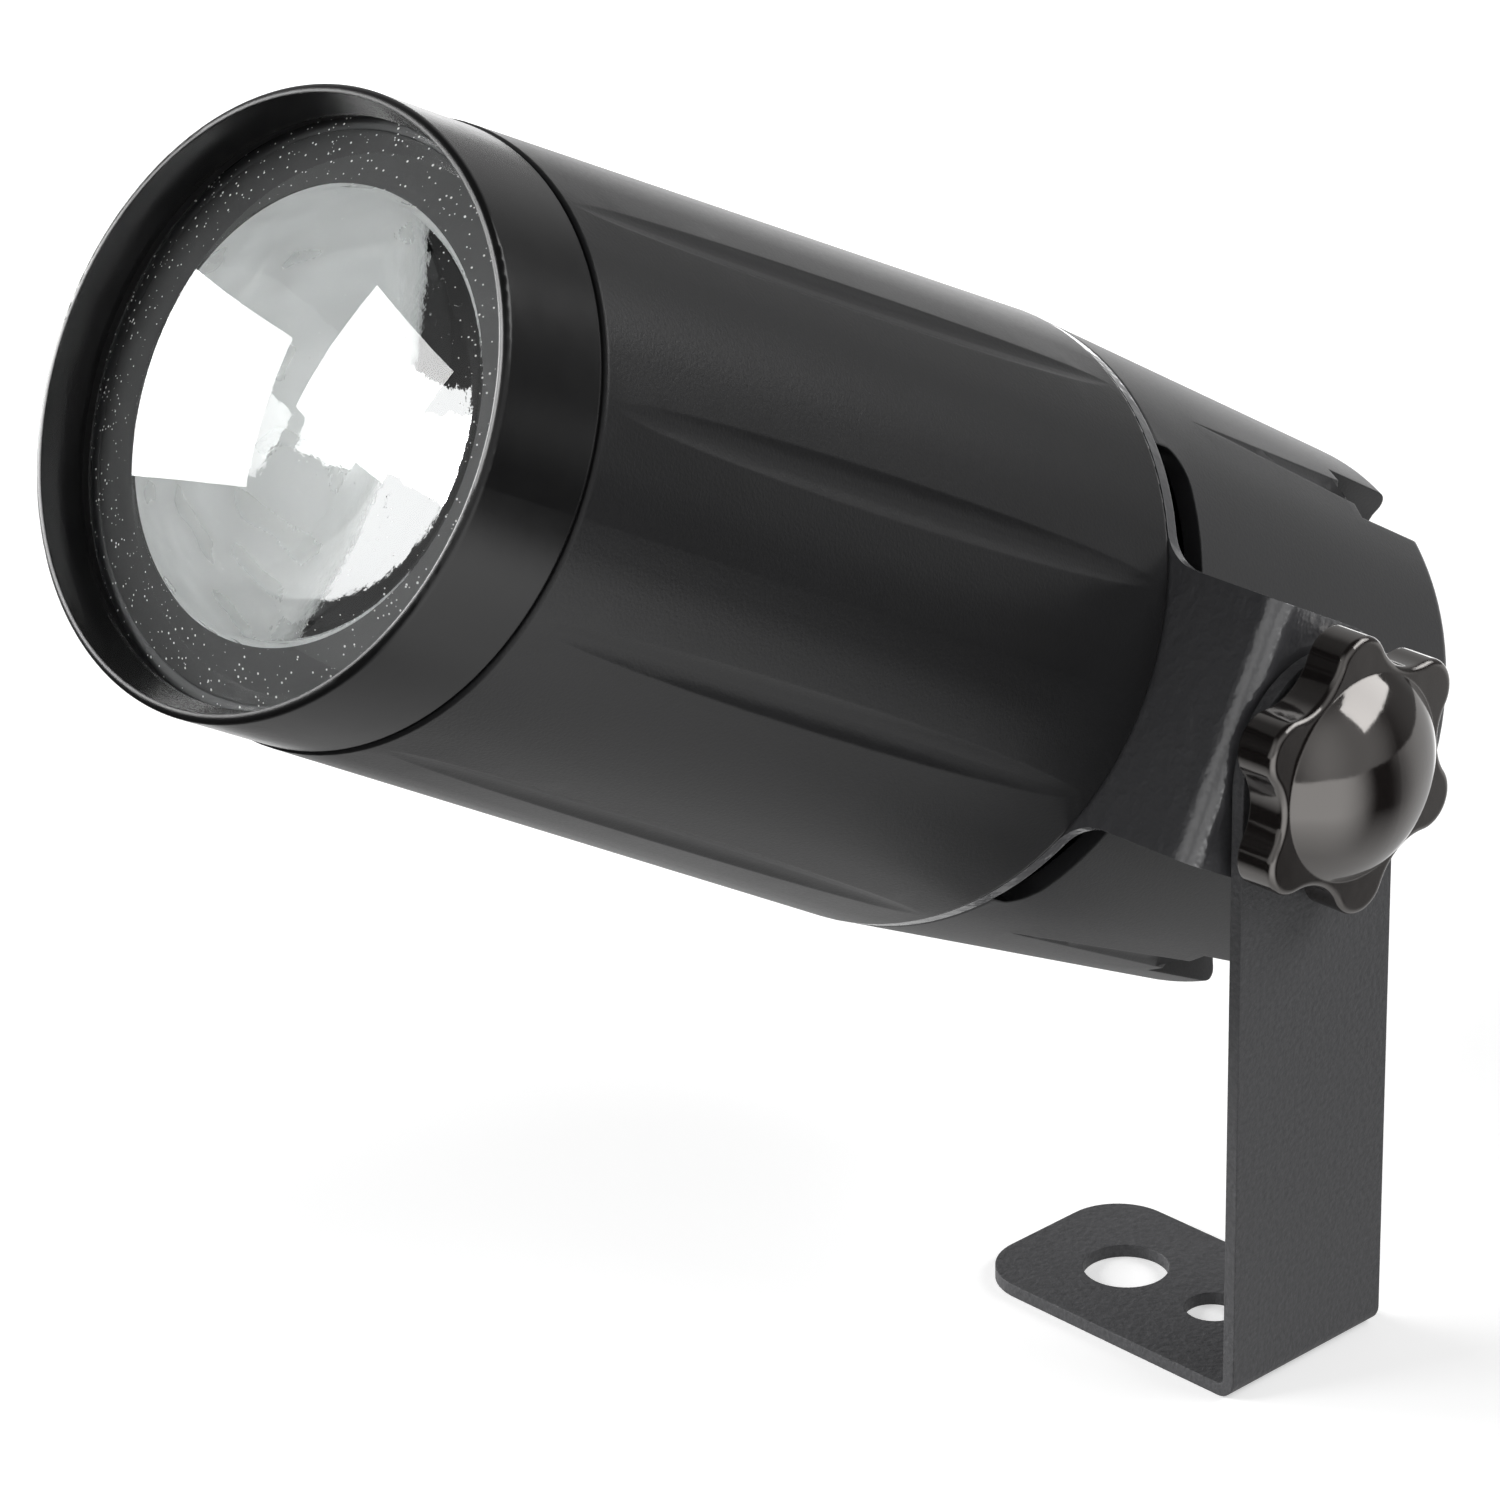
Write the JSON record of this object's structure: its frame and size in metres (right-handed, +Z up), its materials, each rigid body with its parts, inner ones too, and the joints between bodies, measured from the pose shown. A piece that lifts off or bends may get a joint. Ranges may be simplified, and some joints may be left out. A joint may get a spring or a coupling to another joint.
{
  "type": "pinspot light",
  "caption": "Tubular pinspot lamp with a domed lens in a smooth bezel, tilting on a one-sided L bracket clamped by a lobed hand knob.",
  "frame": {"origin": "centre of the clamp hole on the underside of the bracket's foot", "axes": "+Z up along the bracket's upright, +X from the clamp hole towards the upright and knob, -Y the side the lamp looks to, tilted 29 degrees up at rest"},
  "size_m": [0.1273, 0.2246, 0.2061],
  "materials": {
    "black_sheet_steel": "textured black powder coat",
    "black_textured_plastic": "fine-textured satin black moulding",
    "black_satin_plastic": "smooth satin black moulding",
    "black_gloss_plastic": "glossy black moulding",
    "clear_lens": "clear and polished",
    "black_rubber": "matt",
    "reflector_metal": "bright satin reflector",
    "black_matt_plastic": "matt black",
    "steel": "plain zinc-plated steel",
    "black_steel": "black oxide",
    "nylon": "natural nylon",
    "sink_aluminium": "milled aluminium",
    "circuit_board": "green solder mask",
    "led_board_white": "white solder mask on aluminium",
    "led_yellow": "phosphor under a clear dome",
    "display_smoked": "smoked clear plastic",
    "display_block": "digit block with a dark red filter",
    "button_grey": "dark grey moulding",
    "gold_plate": "gold-plated contacts",
    "board_parts": "coated coils and capacitors"
  },
  "bodies": {
    "bracket": {"mounting_bracket": "black_sheet_steel", "friction_washer": "nylon"},
    "lamp_head": {"weld_nut": "steel", "front_bezel": "black_satin_plastic", "lens_gasket": "black_rubber", "lens": "clear_lens", "barrel_shell": "black_textured_plastic", "yoke_plate": "black_sheet_steel", "tail_shell": "black_textured_plastic", "housing_screws": "black_steel", "panel_screws": "black_steel", "rear_panel": "black_matt_plastic", "display_window": "display_smoked", "control_board": "circuit_board", "digit_display": "display_block", "dmx_in_socket": "black_matt_plastic", "dmx_in_pins": "gold_plate", "dmx_out_socket": "black_matt_plastic", "socket_screws": "black_steel", "gland_body": "black_matt_plastic", "gland_cap": "black_matt_plastic", "gland_nut": "black_matt_plastic", "baffle_ring": "black_matt_plastic", "reflector_cone": "reflector_metal", "led_emitter": "led_yellow", "led_board": "led_board_white", "heat_sink": "sink_aluminium", "heat_sink_screws": "steel", "led_board_screws": "steel", "driver_board": "circuit_board", "driver_parts": "board_parts", "driver_screws": "steel"},
    "knob_washer_body": {"knob_washer": "steel"},
    "knob": {"clamping_knob": "black_gloss_plastic", "knob_stud": "steel"},
    "button_1": {"menu_button_1": "button_grey"},
    "button_2": {"menu_button_2": "button_grey"},
    "button_3": {"menu_button_3": "button_grey"},
    "button_4": {"menu_button_4": "button_grey"},
    "release_tab": {"dmx_out_latch": "black_satin_plastic"}
  },
  "joints": [
    {"name": "tilt", "type": "hinge", "parent": "bracket", "child": "lamp_head", "pos_m": [0.0335, 0, 0.0965], "axis": [1, 0, 0], "range_deg": [-205, 83]},
    {"name": "knob_travel", "type": "slide", "parent": "lamp_head", "child": "knob_washer_body", "axis": [1, 0, 0], "range_m": [0, 0.005]},
    {"name": "knob_turn", "type": "hinge", "parent": "knob_washer_body", "child": "knob", "pos_m": [0.0435, 0, 0.0965], "axis": [1, 0, 0], "range_deg": [0, 1440]},
    {"name": "button_1_press", "type": "slide", "parent": "lamp_head", "child": "button_1", "axis": [0, -0.8746, 0.4848], "range_m": [0, 0.0005], "stiffness_N_per_m": 500, "springref_m": -0.0005},
    {"name": "button_2_press", "type": "slide", "parent": "lamp_head", "child": "button_2", "axis": [0, -0.8746, 0.4848], "range_m": [0, 0.0005], "stiffness_N_per_m": 500, "springref_m": -0.0005},
    {"name": "button_3_press", "type": "slide", "parent": "lamp_head", "child": "button_3", "axis": [0, -0.8746, 0.4848], "range_m": [0, 0.0005], "stiffness_N_per_m": 500, "springref_m": -0.0005},
    {"name": "button_4_press", "type": "slide", "parent": "lamp_head", "child": "button_4", "axis": [0, -0.8746, 0.4848], "range_m": [0, 0.0005], "stiffness_N_per_m": 500, "springref_m": -0.0005},
    {"name": "release_press", "type": "slide", "parent": "lamp_head", "child": "release_tab", "axis": [0, -0.8746, 0.4848], "range_m": [0, 0.001], "stiffness_N_per_m": 500, "springref_m": -0.0005}
  ],
  "couplings": [
    {"joint": "knob_travel", "follows": "knob_turn", "m_per_rad": 0.00019894}
  ]
}
